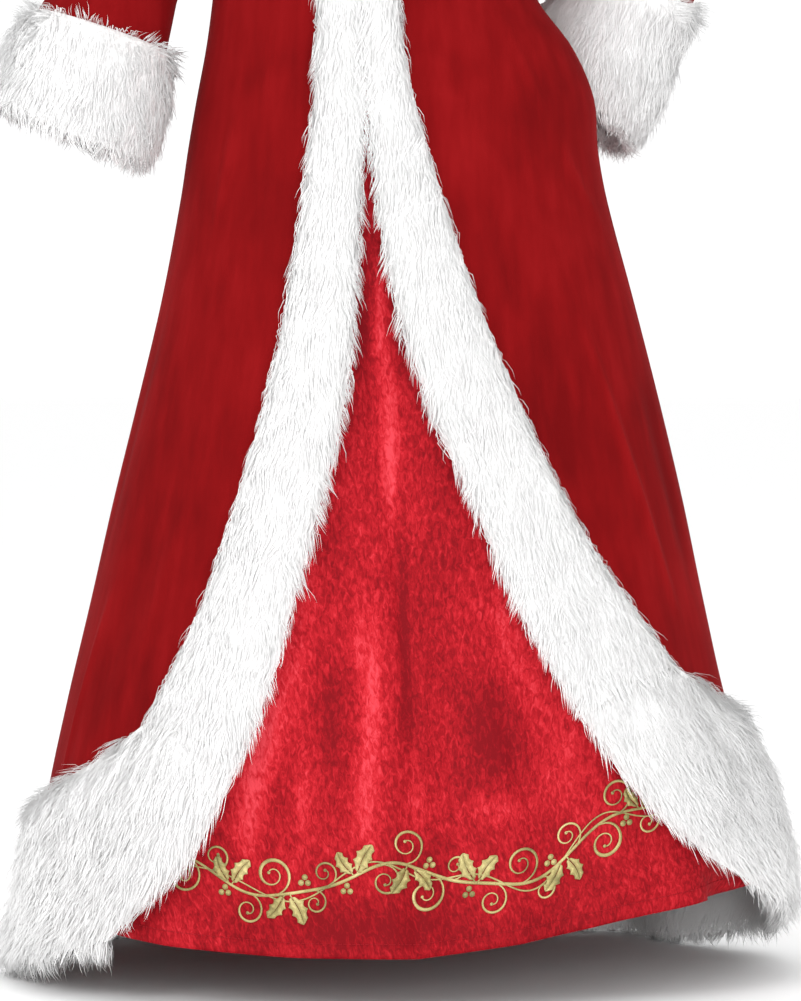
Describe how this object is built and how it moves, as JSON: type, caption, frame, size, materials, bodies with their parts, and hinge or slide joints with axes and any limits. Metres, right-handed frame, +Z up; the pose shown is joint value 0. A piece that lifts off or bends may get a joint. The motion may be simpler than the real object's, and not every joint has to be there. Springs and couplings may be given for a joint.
{
  "type": "christmas costume dress",
  "caption": "Long velvet robe dress worn over a crushed velvet front panel, with white plush down the parted front edges, round the hem and on the cuffs.",
  "frame": {"origin": "midway between the two shoulder seams, on the line on which the wearer's shoulders carry the dress", "axes": "+Z up, the front of the dress faces -Y, +X to the right as seen from the front"},
  "size_m": [0.8337, 0.6647, 1.4967],
  "materials": {
    "robe_velvet": "dark red velvet with a soft nap",
    "panel_velvet": "bright red crushed velvet with a gold printed border",
    "plush": "white long-pile plush"
  },
  "bodies": {
    "root": {"yoke_front_left": "robe_velvet", "robe_front_left": "robe_velvet", "yoke_front_right": "robe_velvet", "robe_front_right": "robe_velvet", "yoke_back": "robe_velvet", "robe_back": "robe_velvet", "sleeve_left": "robe_velvet", "sleeve_right_top": "robe_velvet", "sleeve_right_upper": "robe_velvet", "sleeve_right_elbow": "robe_velvet", "sleeve_right_lower": "robe_velvet", "centre_panel": "panel_velvet", "plush_band_left": "plush", "plush_band_right": "plush", "plush_hem_left": "plush", "plush_hem_right": "plush", "plush_hem_back": "plush", "plush_cuff_left": "plush", "plush_cuff_right": "plush"}
  },
  "joints": []
}
